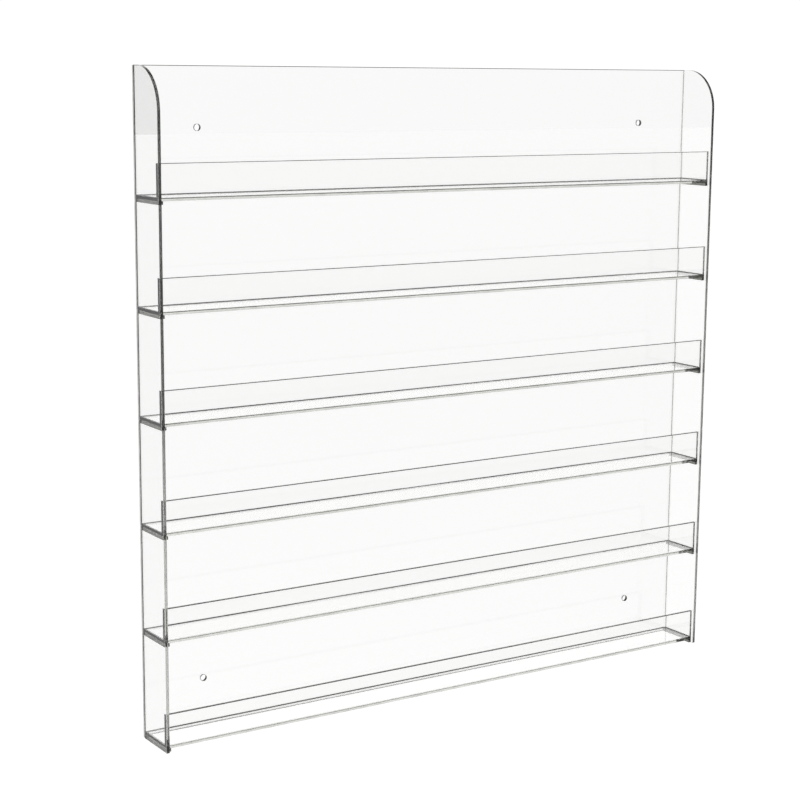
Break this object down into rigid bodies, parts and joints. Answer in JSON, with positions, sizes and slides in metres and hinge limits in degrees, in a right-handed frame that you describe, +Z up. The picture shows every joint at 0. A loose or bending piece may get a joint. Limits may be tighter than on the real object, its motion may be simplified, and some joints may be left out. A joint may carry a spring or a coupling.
{
  "type": "brochure rack",
  "caption": "Wall-mounted clear acrylic rack with shallow open shelves, low retaining lips and rounded side panels, for upright brochures or cards.",
  "frame": {"origin": "centre of the back panel's rear face, which lies flat against the wall", "axes": "+X along the width, to the right of a viewer who faces the front; +Y into the wall, so the front faces -Y; +Z up"},
  "size_m": [0.64, 0.05, 0.62],
  "materials": {
    "clear_acrylic": "clear cast sheet, polished faces, cut edges slightly darker"
  },
  "bodies": {
    "root": {"back_panel": "clear_acrylic", "side_panel_left": "clear_acrylic", "side_panel_right": "clear_acrylic", "shelf_rest_left_1": "clear_acrylic", "shelf_rest_right_1": "clear_acrylic", "shelf_1": "clear_acrylic", "lip_1": "clear_acrylic", "shelf_rest_left_2": "clear_acrylic", "shelf_rest_right_2": "clear_acrylic", "shelf_2": "clear_acrylic", "lip_2": "clear_acrylic", "shelf_rest_left_3": "clear_acrylic", "shelf_rest_right_3": "clear_acrylic", "shelf_3": "clear_acrylic", "lip_3": "clear_acrylic", "shelf_rest_left_4": "clear_acrylic", "shelf_rest_right_4": "clear_acrylic", "shelf_4": "clear_acrylic", "lip_4": "clear_acrylic", "shelf_rest_left_5": "clear_acrylic", "shelf_rest_right_5": "clear_acrylic", "shelf_5": "clear_acrylic", "lip_5": "clear_acrylic", "shelf_rest_left_6": "clear_acrylic", "shelf_rest_right_6": "clear_acrylic", "shelf_6": "clear_acrylic", "lip_6": "clear_acrylic"}
  },
  "joints": []
}
